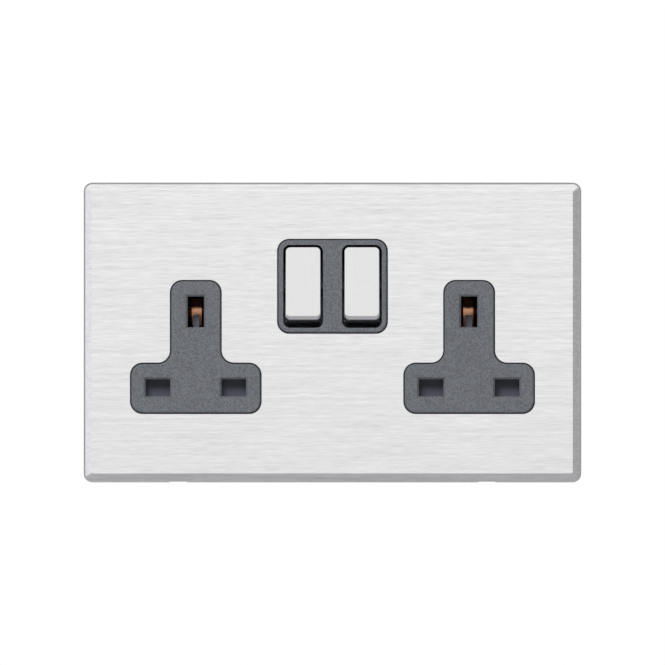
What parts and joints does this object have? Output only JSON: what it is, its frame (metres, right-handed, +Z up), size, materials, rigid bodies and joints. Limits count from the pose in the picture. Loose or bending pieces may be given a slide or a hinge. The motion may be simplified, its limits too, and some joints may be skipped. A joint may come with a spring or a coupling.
{
  "type": "uk twin socket",
  "caption": "British switched wall socket for two plugs, with a clip-on brushed steel plate, dark grey inserts, shutters and steel rocker switches.",
  "frame": {"origin": "midway between the two box screw holes, on the wall plane behind the plate", "axes": "+X to the right and +Z up as one faces the socket, so the front looks along -Y"},
  "size_m": [0.146, 0.0352, 0.088],
  "materials": {
    "brushed steel sheet": "fine horizontal brush grain",
    "zinc plated steel": "dull bright zinc",
    "dark grey moulding": "fine spark texture",
    "grey slide moulding": "smooth, half matt",
    "inner moulding": "smooth, half matt",
    "rear moulding": "moulded thermoset, half matt",
    "spring steel": "bright drawn wire",
    "phosphor bronze": "rolled strip, copper coloured",
    "contact brass": "rolled strip",
    "terminal brass": "extruded and sawn",
    "contact silver": "satin"
  },
  "bodies": {
    "body": {"grid_frame": "zinc plated steel", "front_moulding": "dark grey moulding", "shutter_spring_left": "spring steel", "shutter_spring_right": "spring steel", "shutter_plate": "inner moulding", "earth_strap": "phosphor bronze", "neutral_bar": "contact brass", "live_contact_left": "contact brass", "live_contact_right": "contact brass", "fixed_tips": "contact silver", "live_bar": "contact brass", "rear_moulding": "rear moulding", "neutral_terminal": "terminal brass", "live_terminal": "terminal brass", "earth_terminal": "terminal brass", "terminal_screws": "zinc plated steel", "housing_screws": "zinc plated steel"},
    "front_plate": {"front_plate": "brushed steel sheet"},
    "rocker_left": {"rocker_left": "dark grey moulding", "rocker_cap_left": "brushed steel sheet", "plunger_left": "inner moulding", "plunger_spring_left": "spring steel"},
    "blade_left": {"blade_left": "contact brass", "blade_tip_left": "contact silver"},
    "shutter_left": {"shutter_left": "grey slide moulding"},
    "rocker_right": {"rocker_right": "dark grey moulding", "rocker_cap_right": "brushed steel sheet", "plunger_right": "inner moulding", "plunger_spring_right": "spring steel"},
    "blade_right": {"blade_right": "contact brass", "blade_tip_right": "contact silver"},
    "shutter_right": {"shutter_right": "grey slide moulding"}
  },
  "joints": [
    {"name": "plate_clip_off", "type": "slide", "parent": "body", "child": "front_plate", "axis": [0, -1, 0], "range_m": [0, 0.02]},
    {"name": "rocker_left_tilt", "type": "hinge", "parent": "body", "child": "rocker_left", "pos_m": [-0.0086, 0.0006, 0.0135], "axis": [1, 0, 0], "range_deg": [0, 16]},
    {"name": "blade_left_tip", "type": "hinge", "parent": "body", "child": "blade_left", "pos_m": [-0.0086, 0.00766, 0.0135], "axis": [1, 0, 0], "range_deg": [-11, 0]},
    {"name": "shutter_left_slide", "type": "slide", "parent": "body", "child": "shutter_left", "axis": [0, 0, -1], "range_m": [0, 0.0052], "stiffness_N_per_m": 150, "springref_m": -0.004, "deforming": ["shutter_spring_left"]},
    {"name": "rocker_right_tilt", "type": "hinge", "parent": "body", "child": "rocker_right", "pos_m": [0.0086, 0.0006, 0.0135], "axis": [1, 0, 0], "range_deg": [0, 16]},
    {"name": "blade_right_tip", "type": "hinge", "parent": "body", "child": "blade_right", "pos_m": [0.0086, 0.00766, 0.0135], "axis": [1, 0, 0], "range_deg": [-11, 0]},
    {"name": "shutter_right_slide", "type": "slide", "parent": "body", "child": "shutter_right", "axis": [0, 0, -1], "range_m": [0, 0.0052], "stiffness_N_per_m": 150, "springref_m": -0.004, "deforming": ["shutter_spring_right"]}
  ],
  "couplings": [
    {"joint": "blade_left_tip", "follows": "rocker_left_tilt", "ratio": -0.6875},
    {"joint": "blade_right_tip", "follows": "rocker_right_tilt", "ratio": -0.6875}
  ]
}
